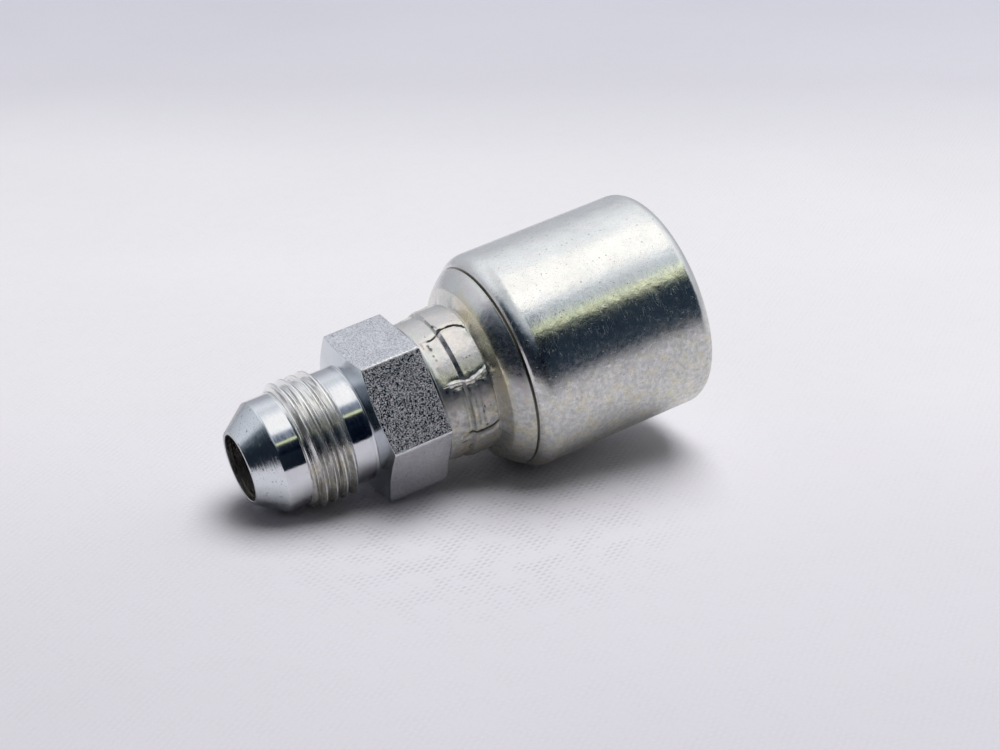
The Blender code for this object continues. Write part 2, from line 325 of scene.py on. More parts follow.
def wave(values, seed):
    """Smooth random values of about -1 to 1 along one or more coordinates given as columns."""
    flat = np.asarray(values, dtype=float).reshape(-1, 3)
    shift = Vector((seed * 7.31, seed * 3.17, seed * 5.93))
    result = [noise.fractal(Vector(point) + shift, 1.0, 2.0, 3) for point in flat]
    return np.array(result)


# The nipple

HEX_CORNER_ROUNDING = 0.62
THREAD_COLUMNS = 216
THREAD_FLANK_ANGLE = 30
CREST_SHARE = 0.125  # of the pitch
CREST_WEAR = 0.012
CREST_PHASE = 8.70  # s of a crest at CREST_HEADING
CREST_HEADING = 75
CHAMFER_START = 7.12
CHAMFER_ANGLE = 45
RUNOUT_END = 14.2
RUNOUT_SLOPE = 1.6
THREAD_TUCK = 1.2  # how far the thread's ends reach under the turned body
THREAD_SHADE_SIDE = 52.0  # theta where shade is painted on the thread
SMOOTH_BELOW = 38  # edges that bend less, in degrees, are shaded smooth


def column_angles(base, clusters, spread):
    """Angles in degrees: even ones, with finer ones close to each cluster angle."""
    angles = set(np.round(np.arange(0, 360, base), 4))
    for cluster in clusters:
        for offset in spread:
            angles.add(round((cluster + offset) % 360, 4))
            angles.add(round((cluster - offset) % 360, 4))
    kept = []
    for angle in sorted(angles):
        if not kept or angle - kept[-1] > 0.12:
            kept.append(angle)
    return np.array(kept)


def hex_radius(theta):
    """Radius of the hexagon with rounded corners."""
    offset = np.radians(np.abs((theta - HEX_ROLL + 30) % 60 - 30))
    centre = (HEX_APOTHEM - HEX_CORNER_ROUNDING) / math.cos(math.pi / 6)
    meet = math.atan2(
        HEX_CORNER_ROUNDING * math.sin(math.pi / 6),
        centre + HEX_CORNER_ROUNDING * math.cos(math.pi / 6),
    )
    flat = HEX_APOTHEM / np.cos(math.pi / 6 - offset)
    across = np.minimum(offset, meet)
    round_part = centre * np.cos(across) + np.sqrt(
        HEX_CORNER_ROUNDING**2 - (centre * np.sin(across)) ** 2
    )
    return np.where(offset < meet, round_part, flat)


def nipple_corners(theta):
    """The nipple's outline, from the nose back along the outside and forward through the bore."""
    rim = BORE_RADIUS + NOSE_RIM_WIDTH
    cone = (NOSE_RADIUS - rim) / math.tan(math.radians(SEAT_ANGLE))
    slope = math.tan(math.radians(HEX_CHAMFER_ANGLE))
    hexagon = hex_radius(theta)
    hex_edge = HEX_FRONT + slope * (hexagon - RELIEF_RADIUS)
    under_thread = NOSE_RADIUS + 0.03
    corners = [
        (0.0, rim, 0.16, "cone", 0.6),
        (cone, NOSE_RADIUS, 0.5, "turned", 0.6),
        (NOSE_LENGTH - 0.1, NOSE_RADIUS, 0, "turned", 2.5),
        (RUNOUT_END - 0.3, under_thread, 0, "turned", 0.4),
        (RUNOUT_END, RELIEF_RADIUS, 0.2, "turned", 0.6),
        (HEX_FRONT, RELIEF_RADIUS, 0.35, "hex_face", 0.5),
        (hex_edge, hexagon, 0.14, "hex_flat", 0.8),
        (HEX_BACK, hexagon, 0.16, "hex_face", 0.8),
        (HEX_BACK, NECK_RADIUS, 0.3, "neck", 0.8),
        (GROOVE_FRONT, NECK_RADIUS, 0, "neck", 1),
        (GROOVE_FRONT + GROOVE_FLANK, GROOVE_RADIUS, 0, "neck", 1),
        (GROOVE_BACK - GROOVE_FLANK, GROOVE_RADIUS, 0, "neck", 1),
        (GROOVE_BACK, NECK_RADIUS, 0, "neck", 1),
        (NECK_END, NECK_RADIUS, 0.2, "neck", 1),
    ]
    low = STEM_RADIUS - BARB_DEPTH
    first = NECK_END + STEM_LEAD
    pitch = (STEM_END - STEM_TIP_CHAMFER - first) / BARB_COUNT
    corners.append((NECK_END, low, 0.2, "stem", 2))
    for barb in range(BARB_COUNT):
        place = first + barb * pitch
        corners.append((place, low, 0, "stem", 1))
        corners.append((place + BARB_STEP, STEM_RADIUS, 0, "stem", 1))
    tip_wall = STEM_RADIUS - BORE_RADIUS - BARB_DEPTH
    corners.append((STEM_END - STEM_TIP_CHAMFER, low, 0.1, "stem", 1))
    tip_radius = low - min(STEM_TIP_CHAMFER, tip_wall / 2)
    corners.append((STEM_END, tip_radius, 0.15, "stem", 1))
    corners.append((STEM_END, BORE_RADIUS, 0.12, "bore", 5))
    corners.append((0.0, BORE_RADIUS, 0.12, "cone", 0.4))
    return corners


def thread_strip():
    """The thread's section over one pitch, as rows of (s, r)."""
    root = THREAD_RADIUS - THREAD_DEPTH
    flank = THREAD_DEPTH * math.tan(math.radians(THREAD_FLANK_ANGLE))
    crest = THREAD_PITCH * CREST_SHARE
    half_root = (THREAD_PITCH - crest - 2 * flank) / 2
    corners = [
        (half_root, root, 0.12),
        (half_root + flank, THREAD_RADIUS, 0.06),
        (half_root + flank + crest, THREAD_RADIUS, 0.06),
        (THREAD_PITCH - half_root, root, 0.12),
    ]
    ends = [(0.0, root), (THREAD_PITCH, root)]
    outline = [ends[0]] + [corner[:2] for corner in corners] + [ends[1]]
    spots = [np.array(spot).reshape(2, 1) for spot in outline]
    section = [ends[0]]
    for k, (_, _, fillet) in enumerate(corners, start=1):
        points = round_corner(spots[k - 1], spots[k], spots[k + 1], fillet, steps=3, margin=0.03)
        section += [(point[0, 0], point[1, 0]) for point in points]
        if k in (1, 3):  # a flank gets a point half way
            below = np.array(section[-1])
            section.append(below + (spots[k + 1][:, 0] - below) * 0.5)
    return np.array(section)


def add_thread(skin):
    """The thread as one right-hand helical sheet, cut back by a chamfer at the nose end and
    running out into the relief. Its ends dip under the turned body."""
    section = thread_strip()
    root = THREAD_RADIUS - THREAD_DEPTH
    angle = np.arange(THREAD_COLUMNS * (THREAD_TURNS + 3) + 1) * 360.0 / THREAD_COLUMNS
    start = CREST_PHASE - THREAD_PITCH / 2 - THREAD_PITCH * 2 - THREAD_PITCH * CREST_HEADING / 360
    s = start + section[:, 0][:, None] + THREAD_PITCH * angle[None, :] / 360
    r = np.broadcast_to(section[:, 1][:, None], s.shape).copy()
    turn = np.radians(angle)
    worn = wave(np.stack([np.cos(turn) * 2, np.sin(turn) * 2, angle / 200], -1), 3)
    r = np.where(r > root + 0.5, r - CREST_WEAR * (1 + worn[None, :]), r)
    chamfer = NOSE_RADIUS - 0.05 + (s - CHAMFER_START) * math.tan(math.radians(CHAMFER_ANGLE))
    runout = RELIEF_RADIUS + (RUNOUT_END - s) * RUNOUT_SLOPE
    floor = NOSE_RADIUS - 0.06
    r = np.maximum(np.minimum(np.minimum(r, chamfer), runout), floor)
    keep = (s[0] + THREAD_PITCH > CHAMFER_START - THREAD_TUCK) & (s[0] < RUNOUT_END + THREAD_TUCK)
    columns = np.nonzero(keep)[0]
    s, r, angle = s[:, columns], r[:, columns], angle[columns]
    side = (np.broadcast_to(angle, s.shape) + 180) % 360 - 180
    # Painted shade: the thread's colour is darkened in streaks on its side round theta 52
    streaks = 0.7 + 0.3 * np.sin(s * 11 + np.sin(side * 0.3) * 2) * np.sin(side * 0.45 - s * 5)
    shade_and_soil = 0.55 * streaks * np.exp(-(((side - THREAD_SHADE_SIDE) / 9) ** 2))
    zones = ["thread"] * len(s)
    skin.add_grid(s, r, angle, zones, wrap_rings=False, wrap_columns=False, shade_and_soil=shade_and_soil)


def make_nipple(materials):
    corners = [HEX_ROLL + 60 * k for k in range(6)]
    theta = column_angles(1.5, corners, (0, 0.3, 0.6, 0.9, 1.2, 1.4, 1.6))
    s, r, zones = trace(nipple_corners(theta), len(theta))
    skin = Skin()
    skin.add_grid(s, r, theta, zones, wrap_rings=True, wrap_columns=True)
    add_thread(skin)
    return skin.build("nipple_detail", materials, SMOOTH_BELOW)


# The crimp shell

# The ridges that the photo shows, as (s, theta) of their crest lines; the others are straighter
RIDGE_PATHS = {
    1: ((29.3, 24.2), (30.3, 24.4), (31.0, 23.2), (31.6, 20.8), (32.4, 20.2), (33.4, 20.2),
        (34.2, 21.0), (35.0, 24.0), (35.6, 27.6)),
    2: ((29.3, 64.6), (30.5, 64.4), (31.2, 65.0), (31.8, 66.2), (32.5, 67.0), (33.3, 65.9),
        (34.0, 65.0), (35.0, 63.2), (35.6, 61.5)),
    3: ((29.3, 112.5), (30.3, 111.2), (31.6, 111.0), (33.0, 111.6), (34.4, 111.0),
        (35.0, 109.6), (35.6, 107.2)),
}
# The lower lip of the second ridge, a thin line beside it
LIP_PATH = ((30.0, 69.0), (31.0, 69.7), (31.8, 67.8), (32.4, 69.0), (33.3, 67.9), (34.0, 68.2),
            (35.0, 69.3), (35.8, 70.4))
# Height in mm and half width in degrees of the ridges that are not like the rest
RIDGE_SHAPES = {1: (0.30, 1.15), 2: (0.28, 2.0), 3: (0.22, 1.6)}
JAW_TURN = 2.2
JAW_FLATTENING = 0.27
FACET_FLATTENING = 0.05
HALF_JAW = 180 / JAW_COUNT
RIDGES = range(1, JAW_COUNT + 1)
FACET_END = 35.5
RIDGE_ZONE = 2.4  # degrees beside a crest that follow its bends in full
BEND_FADE = (35.9, 37.2)  # s over which the bends end
LIP_HEIGHT = 0.07
CREASE_DEPTH = 0.24
CREASE_OFFSET = 2.2
SLUMP_DEPTH = 0.08
STEP_START = 31.28
STEP_END = 31.96
# Soft rings that the jaws left behind the step
RING_START = 31.9
RING_HEIGHT = 0.030
RING_RATE = 7.5
RING_FADE = (33.0, 34.2)
FLARE_FOOT = (36.72, 12.92)
FLARE_LIP = (39.06, 15.06)


def ridge_home(index):
    """Theta between two jaws, where a ridge would stand if it ran straight."""
    return JAW_ROLL + 2 * HALF_JAW * (index - 1)


def ridge_line(index, s):
    """Theta of the crest of one ridge along the collar."""
    if index in RIDGE_PATHS:
        places, angles = zip(*RIDGE_PATHS[index])
        return np.interp(s, places, angles)
    bend = np.sin((s - 29) * 0.9 + index * 1.7) * 1.2 + np.sin((s - 29) * 2.1 + index) * 0.6
    return ridge_home(index) + JAW_TURN + bend


def follow_ridges(s, theta):
    """Bends the grid's columns so that they follow the crests of the ridges. Returns theta for every
    point, its distance in degrees from the nearest ridge, and that ridge's number."""
    index = np.floor((theta - JAW_ROLL) / (2 * HALF_JAW) + 0.5) + 1
    near = np.abs(theta - ridge_home(index))
    ridge = ((index - 1) % JAW_COUNT + 1).astype(int)
    shift = np.zeros_like(s)
    for number in RIDGES:
        line = ridge_line(number, s[:, 0])[:, None] - ridge_home(number)
        shift = np.where(ridge == number, line, shift)
    window = (1 - np.clip((near - RIDGE_ZONE) / (HALF_JAW - RIDGE_ZONE), 0, 1) ** 2) ** 2
    held = smooth(s, COLLAR_FRONT, COLLAR_FRONT + 0.9) * (1 - smooth(s, *BEND_FADE))
    return theta + shift * window * held, near, ridge


def ridge_metal(s, theta, near, ridge):
    """Height of the metal that the jaws squeezed up, ragged in height and width along each ridge.
    Returns it with how much of a ridge each point is, from 0 beside it to 1 on its crest."""
    crest, half_width = np.zeros_like(s), np.ones_like(s)
    for number in RIDGES:
        height, width = RIDGE_SHAPES.get(number, (0.22, 1.7))
        place = np.stack([s[:, 0] * 1.3, s[:, 0] * 0 + number * 9.7, s[:, 0] * 0], -1)
        ragged = wave(place, 5)[:, None]
        crest = np.where(ridge == number, height * (0.85 + 0.45 * ragged), crest)
        half_width = np.where(ridge == number, width * (1 + 0.3 * ragged), half_width)
    share = np.clip(1 - near / half_width, 0, 1)
    crest = crest * share**0.8
    lip_places, lip_angles = zip(*LIP_PATH)
    lip = np.abs(theta - np.interp(s[:, 0], lip_places, lip_angles)[:, None])
    crest = np.maximum(crest, LIP_HEIGHT * np.clip(1 - lip / 0.8, 0, 1) * smooth(s, 29.8, 30.4))
    crease = np.abs(theta - ridge_line(3, s[:, 0])[:, None] + CREASE_OFFSET)
    crest = crest - CREASE_DEPTH * np.clip(1 - crease / 0.9, 0, 1) * smooth(s, 30.6, 31.2)
    slump = -SLUMP_DEPTH * np.exp(-((near - half_width) / 2.0) ** 2)
    rise = smooth(s, COLLAR_FRONT + 1.0, COLLAR_FRONT + 2.2)
    fall = 1 - smooth(s, FLARE_START - 0.2, FLARE_START + 0.35)
    return (crest + slump) * rise * fall, share


def press_collar(s, r, theta):
    """Gives the collar its shape after the jaws: s, r and theta for every point."""
    theta, near, ridge = follow_ridges(s, np.broadcast_to(theta, s.shape))
    metal, share = ridge_metal(s, theta, near, ridge)
    first = ridge_line(1, s[:, 0])[:, None]
    second = ridge_line(2, s[:, 0])[:, None]
    on_first = smooth(theta, first - 0.6, first + 0.6)
    on_first = on_first * (1 - smooth(theta, second - 0.6, second + 0.6))
    # Each facet is flatter than a round collar: lower at its middle than at its two ridges
    across = np.clip(1 - near / HALF_JAW, 0, 1)
    flattening = FACET_FLATTENING + (JAW_FLATTENING - FACET_FLATTENING) * on_first
    flat = flattening * (across**2 - 0.45)
    press = smooth(s, COLLAR_FRONT + 0.2, COLLAR_FRONT + 0.8)
    press = press * (1 - smooth(s, FLARE_START, FLARE_START + 0.4))
    r = r + metal + flat * press
    rings = RING_HEIGHT * np.sin((s - RING_START) * RING_RATE)
    rings = rings * smooth(s, 31.5, RING_START) * (1 - smooth(s, *RING_FADE))
    r = r + rings * smooth(theta, 50, 70) * (1 - smooth(theta, 108, 125))
    # Each facet ends a little further along or back, where its jaw stopped
    facet = np.floor((theta - first) / (2 * HALF_JAW))
    stop = 0.22 * np.sin(facet * 2.1 + 3.6) * np.exp(-(((s - FACET_END) / 0.8) ** 2))
    s = s + stop * (1 - share) * smooth(near, 0.0, 4.0)
    # The step is broad where the first jaw pressed and narrow beside it
    narrow = (1 - on_first) * (1 - 0.5 * smooth(theta, second, second + 1.0))
    squeezed = STEP_START + 0.10 + (s - STEP_START) * 0.35
    within = (s > STEP_START - 0.02) & (s < STEP_END + 0.02)
    s = np.where(within, s + (squeezed - s) * narrow, s)
    return s, r, theta


# Dark marks painted on the collar, as (s, theta, half length, half width) in mm
DARK_MARKS = (
    (29.40, 29.2, 0.17, 0.28), (29.52, 32.2, 0.20, 0.28), (29.42, 38.0, 0.12, 0.16),
    (29.45, 42.5, 0.10, 0.14), (31.2, 126.0, 0.12, 0.3), (31.1, 129.5, 0.1, 0.3),
    (30.0, 117.0, 0.5, 0.12), (31.65, 14.2, 0.14, 0.22), (31.85, 16.2, 0.14, 0.25),
    (33.3, 92.0, 0.12, 0.15), (33.6, 89.0, 0.12, 0.15), (33.5, 105.0, 0.2, 0.2),
)


def collar_shade_and_soil(s, r, theta):
    """How dark each point of the collar is painted: shade in the crease beside the third ridge and in
    the troughs of the soft rings, and dark marks.
    """
    shade_and_soil = np.zeros_like(s)
    for place, angle, half_length, half_width in DARK_MARKS:
        down = (s - place) / half_length
        across = np.radians(theta - angle) * r / half_width
        ragged = np.sin(s * 17 + theta * 1.1) * np.sin(theta * 2.3 - s * 9)
        shade_and_soil = np.maximum(shade_and_soil, np.clip(1.5 - np.hypot(down, across) + 0.5 * ragged, 0, 1))
    # Painted shade along the crease beside the third ridge
    places, angles = zip(*RIDGE_PATHS[3])
    crack = np.abs(theta - np.interp(s, places, angles) + 2.0) / 0.8
    crack = np.clip(1.4 - crack, 0, 1) * smooth(s, 30.4, 31.2) * (1 - smooth(s, 35.2, 35.7))
    # Painted shade in the troughs of the soft rings on the second facet
    ring_band = smooth(theta, 60, 68) * (1 - smooth(theta, 102, 110))
    rings = np.clip(-np.sin((s - RING_START) * RING_RATE), 0, 1) * smooth(s, 30.6, 31.0)
    rings = rings * (1 - smooth(s, *RING_FADE)) * ring_band
    return np.maximum(shade_and_soil, np.maximum(0.9 * crack, 0.32 * rings))


def shell_corners():
    """The shell's outline, from the collar back along the outside and forward through the
    socket."""
    rim = SHELL_RADIUS - SHOULDER_DROP
    front = COLLAR_FRONT - 0.25
    corners = [
        (front, COLLAR_BORE_RADIUS, 0.1, "collar", 0.4),
        (front, COLLAR_RADIUS, 0.45, "collar", 0.15),
        (STEP_START, COLLAR_RADIUS, 0.10, "collar", 0.1),
        (STEP_START + 0.12, COLLAR_RADIUS - 0.04, 0.05, "collar", 0.1),
        (STEP_END, BAND_RADIUS, 0.14, "collar", 0.15),
        (FLARE_START + 0.16, BAND_RADIUS, 0.40, "collar", 0.1),
        (FLARE_START + 0.36, BAND_RADIUS - 0.14, 0.14, "flare", 0.1),
    ]
    flare = bent_points(FLARE_FOOT, 62, 0.45, FLARE_LIP, 34, 1.1, 14)
    corners += [(s, r, 0, "flare", 0.3) for s, r in flare[:-1]]
    corners += [
        (*FLARE_LIP, 0.05, "flare", 0.1),
        (RIM_PLACE - 0.46, rim - RIM_STEP - 0.05, 0.04, "rim", 0.1),
        (RIM_PLACE - 0.26, rim - RIM_STEP - 0.36, 0.05, "rim", 0.1),
        (RIM_PLACE - 0.05, rim - RIM_STEP + 0.02, 0.05, "barrel", 0.1),
    ]
    shoulder = arc_points(
        (RIM_PLACE, rim), (RIM_PLACE + SHOULDER_LENGTH, SHELL_RADIUS), SHOULDER_BULGE, 10
    )
    corners += [(s, r, 0, "barrel", 0.3) for s, r in shoulder[1:-1]]
    corners.append((*shoulder[-1], 0, "barrel", 2.6))
    mouth = arc_points(
        (SHELL_MOUTH - MOUTH_ROUND_LENGTH, SHELL_RADIUS),
        (SHELL_MOUTH, SHELL_RADIUS - MOUTH_ROUND_DROP),
        MOUTH_ROUND_BULGE,
        8,
    )
    corners += [(s, r, 0, "barrel", 0.3) for s, r in mouth[:-1]]
    corners += [
        (*mouth[-1], 0.1, "mouth", 0.4),
        (SHELL_MOUTH, SOCKET_RADIUS + MOUTH_CHAMFER, 0.08, "mouth", 0.5),
        (SHELL_MOUTH - MOUTH_CHAMFER, SOCKET_RADIUS, 0.1, "socket", 1),
    ]
    first = SHELL_MOUTH - TOOTH_MARGIN
    pitch = (first - SOCKET_FRONT - TOOTH_MARGIN) / TOOTH_COUNT
    root = SOCKET_RADIUS + TOOTH_DEPTH
    for tooth in range(TOOTH_COUNT):
        place = first - tooth * pitch
        corners.append((place, SOCKET_RADIUS, 0, "socket", 2))
        corners.append((place - (pitch - TOOTH_CREST) / 2, root, 0, "socket", 2))
        corners.append((place - (pitch - TOOTH_CREST), SOCKET_RADIUS, 0, "socket", 2))
    staked = GROOVE_RADIUS + PIECE_GAP
    inside = [
        (SOCKET_FRONT, SOCKET_RADIUS),
        (SOCKET_FRONT - SOCKET_CONE, COLLAR_BORE_RADIUS),
        (GROOVE_BACK + PIECE_GAP, COLLAR_BORE_RADIUS),
        (GROOVE_BACK - GROOVE_FLANK - PIECE_GAP / 2, staked),
        (GROOVE_FRONT + GROOVE_FLANK + PIECE_GAP / 2, staked),
        (GROOVE_FRONT - PIECE_GAP, COLLAR_BORE_RADIUS),
    ]
    corners += [(s, r, 0, "socket", 3) for s, r in inside]
    return corners


def make_shell(materials):
    ridges = [ridge_home(number) for number in RIDGES]
    fine, coarse = 0.3, 0.8
    spread = [fine * k for k in range(8)] + [7 * fine + coarse * k for k in range(1, 6)]
    theta = column_angles(1.5, ridges, spread)
    s, r, zones = trace(shell_corners(), len(theta))
    collar = np.array([zone in ("collar", "flare") for zone in zones])[:, None]
    outside = collar & (r > COLLAR_BORE_RADIUS + 0.9)
    pressed = press_collar(s, r, theta[None, :])
    s, r = np.where(outside, pressed[0], s), np.where(outside, pressed[1], r)
    theta = np.where(outside, pressed[2], theta[None, :])
    skin = Skin()
    shade_and_soil = np.where(outside, collar_shade_and_soil(s, r, theta), 0)
    skin.add_grid(s, r, theta, zones, wrap_rings=True, wrap_columns=True, shade_and_soil=shade_and_soil)
    return skin.build("crimp_shell_detail", materials, SMOOTH_BELOW)


# Materials


class Graph:
    """Short ways to add shader nodes. A value may be a socket or a constant."""

    def __init__(self, owner):
        owner.use_nodes = True
        self.tree = owner.node_tree
        self.tree.nodes.clear()

    def put(self, target, value):
        if isinstance(value, bpy.types.NodeSocket):
            self.tree.links.new(value, target)
        else:
            target.default_value = value

    def add(self, kind, inputs=None, **settings):
        node = self.tree.nodes.new(kind)
        for key, value in settings.items():
            setattr(node, key, value)
        for key, value in (inputs or {}).items():
            self.put(node.inputs[key], value)
        return node

    def math(self, operation, a, b=0.0):
        return self.add("ShaderNodeMath", {0: a, 1: b}, operation=operation).outputs[0]

    def times(self, a, b):
        return self.math("MULTIPLY", a, b)

    def plus(self, a, b):
        return self.math("ADD", a, b)

    def stretch(self, vector, factors):
        node = self.add("ShaderNodeVectorMath", {0: vector, 1: factors}, operation="MULTIPLY")
        return node.outputs[0]

    def split(self, vector):
        return self.add("ShaderNodeSeparateXYZ", {"Vector": vector}).outputs

    def heading(self, parts, angle):
        """How far the first two parts of a vector point along an angle."""
        return self.plus(self.times(parts[0], math.cos(angle)), self.times(parts[1], math.sin(angle)))

    def remap(self, value, low, high, out_low=0.0, out_high=1.0, kind="SMOOTHSTEP"):
        inputs = {0: value, 1: low, 2: high, 3: out_low, 4: out_high}
        return self.add("ShaderNodeMapRange", inputs, interpolation_type=kind).outputs[0]

    def mix(self, factor, a, b, blend="MIX"):
        inputs = {0: factor, 6: a, 7: b}
        return self.add("ShaderNodeMix", inputs, data_type="RGBA", blend_type=blend).outputs[2]

    def ramp(self, value, stops):
        """The colour at a value between stops of (place, colour), places running from 0 to 1."""
        node = self.add("ShaderNodeValToRGB", {"Fac": value})
        elements = node.color_ramp.elements
        elements[0].position = stops[0][0]
        elements[1].position = stops[-1][0]
        elements[0].color = (*stops[0][1], 1)
        elements[1].color = (*stops[-1][1], 1)
        for place, colour in stops[1:-1]:
            elements.new(place).color = (*colour, 1)
        return node.outputs[0]

    def noise(self, vector, scale, detail=2.0, roughness=0.5):
        inputs = {"Vector": vector, "Scale": scale, "Detail": detail, "Roughness": roughness}
        return self.add("ShaderNodeTexNoise", inputs).outputs[0]

    def cells(self, vector, scale):
        node = self.add("ShaderNodeTexVoronoi", {"Vector": vector, "Scale": scale})
        return node.outputs["Distance"], node.outputs["Color"]

    def bump(self, height, distance, normal=None, strength=1.0):
        inputs = {"Height": height, "Distance": distance, "Strength": strength}
        if normal is not None:
            inputs["Normal"] = normal
        return self.add("ShaderNodeBump", inputs).outputs[0]

    def finish(self, shader, kind="ShaderNodeOutputMaterial"):
        self.add(kind, {"Surface": shader.outputs[0]})


# The dark colour for painted shade and dark marks, mixed in by each point's share
SHADE_AND_DIRT = (0.06, 0.055, 0.05, 1)
DARK_SPOT = (0.17, 0.165, 0.16, 1)
GRIME = (0.10, 0.09, 0.08, 1)
SHADE_AND_WEAR_GREY = (0.33, 0.34, 0.33, 1)
WORN_TAN = (0.48, 0.43, 0.24, 1)
UNDERSIDE_HEADING = math.radians(125)
FILM_HEADING = math.radians(50)
PASSIVATE_TINTS = (
    (0.30, (0.98, 0.95, 0.86)),
    (0.42, (1.0, 0.90, 0.92)),
    (0.50, (0.90, 0.88, 0.98)),
    (0.60, (0.90, 0.98, 0.93)),
    (0.72, (0.84, 0.90, 0.99)),
)


def steel(
    name,
    colour,
    roughness,
    rings=0.0,
    ring_scale=6.0,
    grain=0.0,
    grain_scale=3.0,
    flakes=0.0,
    dents=0.0,
    pits=0.0,
    pit_scale=1.2,
    pit_size=0.12,
    pit_share=4.0,
    tint=0.0,
    film=(),
    underside_shade_and_wear=0.0,
    edge=1.0,
    grime=0.0,
    speckle=0.0,
    scratches=0.0,
):
    """Zinc-plated steel. Depths are in mm: rings are turning marks, grain the skin of drawn bar or
    plating, flakes its sparkling scale, dents shallow handling marks, scratches fine lines and pits
    small round dents, whose insides are darkened as painted shade. tint is the iridescence of the
    passivate, film its colours along the axis, grime dark streaks, speckle fine dark spots, and edge
    how much light the metal reflects at a glance. The underside share darkens the lower side toward
    grey as painted shade, with tan stains and a rougher skin as wear."""
    material = bpy.data.materials.new(name)
    graph = Graph(material)
    place = graph.add("ShaderNodeAttribute", attribute_name="lathe").outputs["Vector"]
    around = graph.stretch(place, (1.0, 1.0, 0.0))
    around = graph.add("ShaderNodeVectorMath", {0: around}, operation="NORMALIZE").outputs[0]
    around = graph.split(around)

    cloud = graph.noise(place, 0.22, 3.0, 0.6)
    shade = graph.remap(cloud, 0.3, 0.7, 0.94, 1.04)
    tone = graph.mix(1.0, (*colour, 1.0), shade, "MULTIPLY")
    soft = graph.noise(place, 1.3, 3.0, 0.6)
    rough = graph.remap(soft, 0.25, 0.75, roughness * 0.8, roughness * 1.3)
    normal = None

    if dents:
        normal = graph.bump(graph.noise(place, 0.9), dents * MM, normal)
    if rings:
        along = graph.stretch(place, (0.03, 0.03, 1.0))
        normal = graph.bump(graph.noise(along, ring_scale, 4.0, 0.65), rings * MM, normal)
    if grain:
        normal = graph.bump(graph.noise(place, grain_scale, 4.0, 0.6), grain * MM, normal)
    if flakes:
        raised = graph.remap(graph.noise(place, 4.3, 1.0), 0.55, 0.62)
        sunk = graph.remap(graph.noise(place, 6.0, 1.0), 0.58, 0.65)
        normal = graph.bump(raised, flakes * MM, normal)
        normal = graph.bump(sunk, -0.6 * flakes * MM, normal)
    if scratches:
        line = graph.noise(graph.stretch(place, (0.5, 0.5, 2.2)), 0.8, 2.0, 0.6)
        line = graph.math("ABSOLUTE", graph.math("SUBTRACT", line, 0.5))
        line = graph.remap(line, 0.0, 0.006, 1.0, 0.0)
        line = graph.times(line, graph.remap(graph.noise(place, 0.7, 1.0), 0.5, 0.6))
        normal = graph.bump(graph.times(line, -1.0), scratches * MM, normal)
        rough = graph.plus(rough, graph.times(line, 0.2))
    if pits:
        distance, random = graph.cells(place, pit_scale)
        pick = graph.add("ShaderNodeSeparateColor", {"Color": random}).outputs[0]
        size = graph.times(graph.math("POWER", pick, pit_share), pit_size * pit_scale)
        inside = graph.remap(graph.math("SUBTRACT", size, distance), -0.01, 0.10)
        normal = graph.bump(graph.times(inside, -1.0), pits * MM, normal)
        # Painted shade: the inside of each pit is darkened in colour as well as dented
        tone = graph.mix(graph.times(inside, 0.45), tone, DARK_SPOT)
    if tint:
        tints = graph.ramp(graph.noise(place, 0.35), PASSIVATE_TINTS)
        tone = graph.mix(tint, tone, tints, "MULTIPLY")
    if film:
        drift = graph.remap(graph.noise(place, 0.5, 3.0), 0.3, 0.7, -0.35, 0.35)
        low, high = film[0][0], film[-1][0]
        stops = [((s - low) / (high - low), colour) for s, colour in film]
        s_here = graph.plus(graph.split(place)[2], drift)
        colours = graph.ramp(graph.remap(s_here, low, high, kind="LINEAR"), stops)
        share = graph.remap(graph.heading(around, FILM_HEADING), 0.6, 0.92, 0.1, 1.0)
        tone = graph.mix(share, tone, colours, "MULTIPLY")
    if underside_shade_and_wear:
        # Painted shade and wear: the lower side is darkened toward grey as painted shade, with tan
        # stains and a rougher skin as wear
        worn = graph.remap(graph.heading(around, UNDERSIDE_HEADING), 0.45, 0.95)
        patches = graph.remap(graph.noise(place, 1.4, 5.0, 0.7), 0.35, 0.65, 0.55, 1.4)
        worn = graph.times(graph.times(worn, patches), underside_shade_and_wear)
        stain = graph.remap(graph.noise(place, 0.55, 3.0, 0.6), 0.46, 0.62)
        tone = graph.mix(worn, tone, graph.mix(stain, SHADE_AND_WEAR_GREY, WORN_TAN))
        rough = graph.plus(rough, graph.times(worn, 0.4))
    if grime:
        streaks = graph.noise(graph.stretch(place, (0.16, 0.16, 3.5)), 1.1, 3.0, 0.6)
        dirt = graph.times(graph.remap(streaks, 0.51, 0.68), grime)
        tone = graph.mix(dirt, tone, GRIME)
        rough = graph.plus(rough, graph.times(dirt, 0.3))
    if speckle:
        spots = graph.remap(graph.noise(place, 7.0), 0.60, 0.70, 0.0, speckle)
        tone = graph.mix(spots, tone, DARK_SPOT)

    # Painted shade and dark marks, carried on the mesh, darken the colour and roughen it
    shade_and_soil = graph.add("ShaderNodeAttribute", attribute_name="shade_and_soil").outputs["Fac"]
    inputs = {
        "Base Color": graph.mix(graph.times(shade_and_soil, 0.9), tone, SHADE_AND_DIRT),
        "Metallic": 1.0,
        "Roughness": graph.plus(rough, graph.times(shade_and_soil, 0.3)),
        "Specular Tint": (edge, edge, edge, 1),
    }
    if normal is not None:
        inputs["Normal"] = normal
    graph.finish(graph.add("ShaderNodeBsdfPrincipled", inputs))
    return material


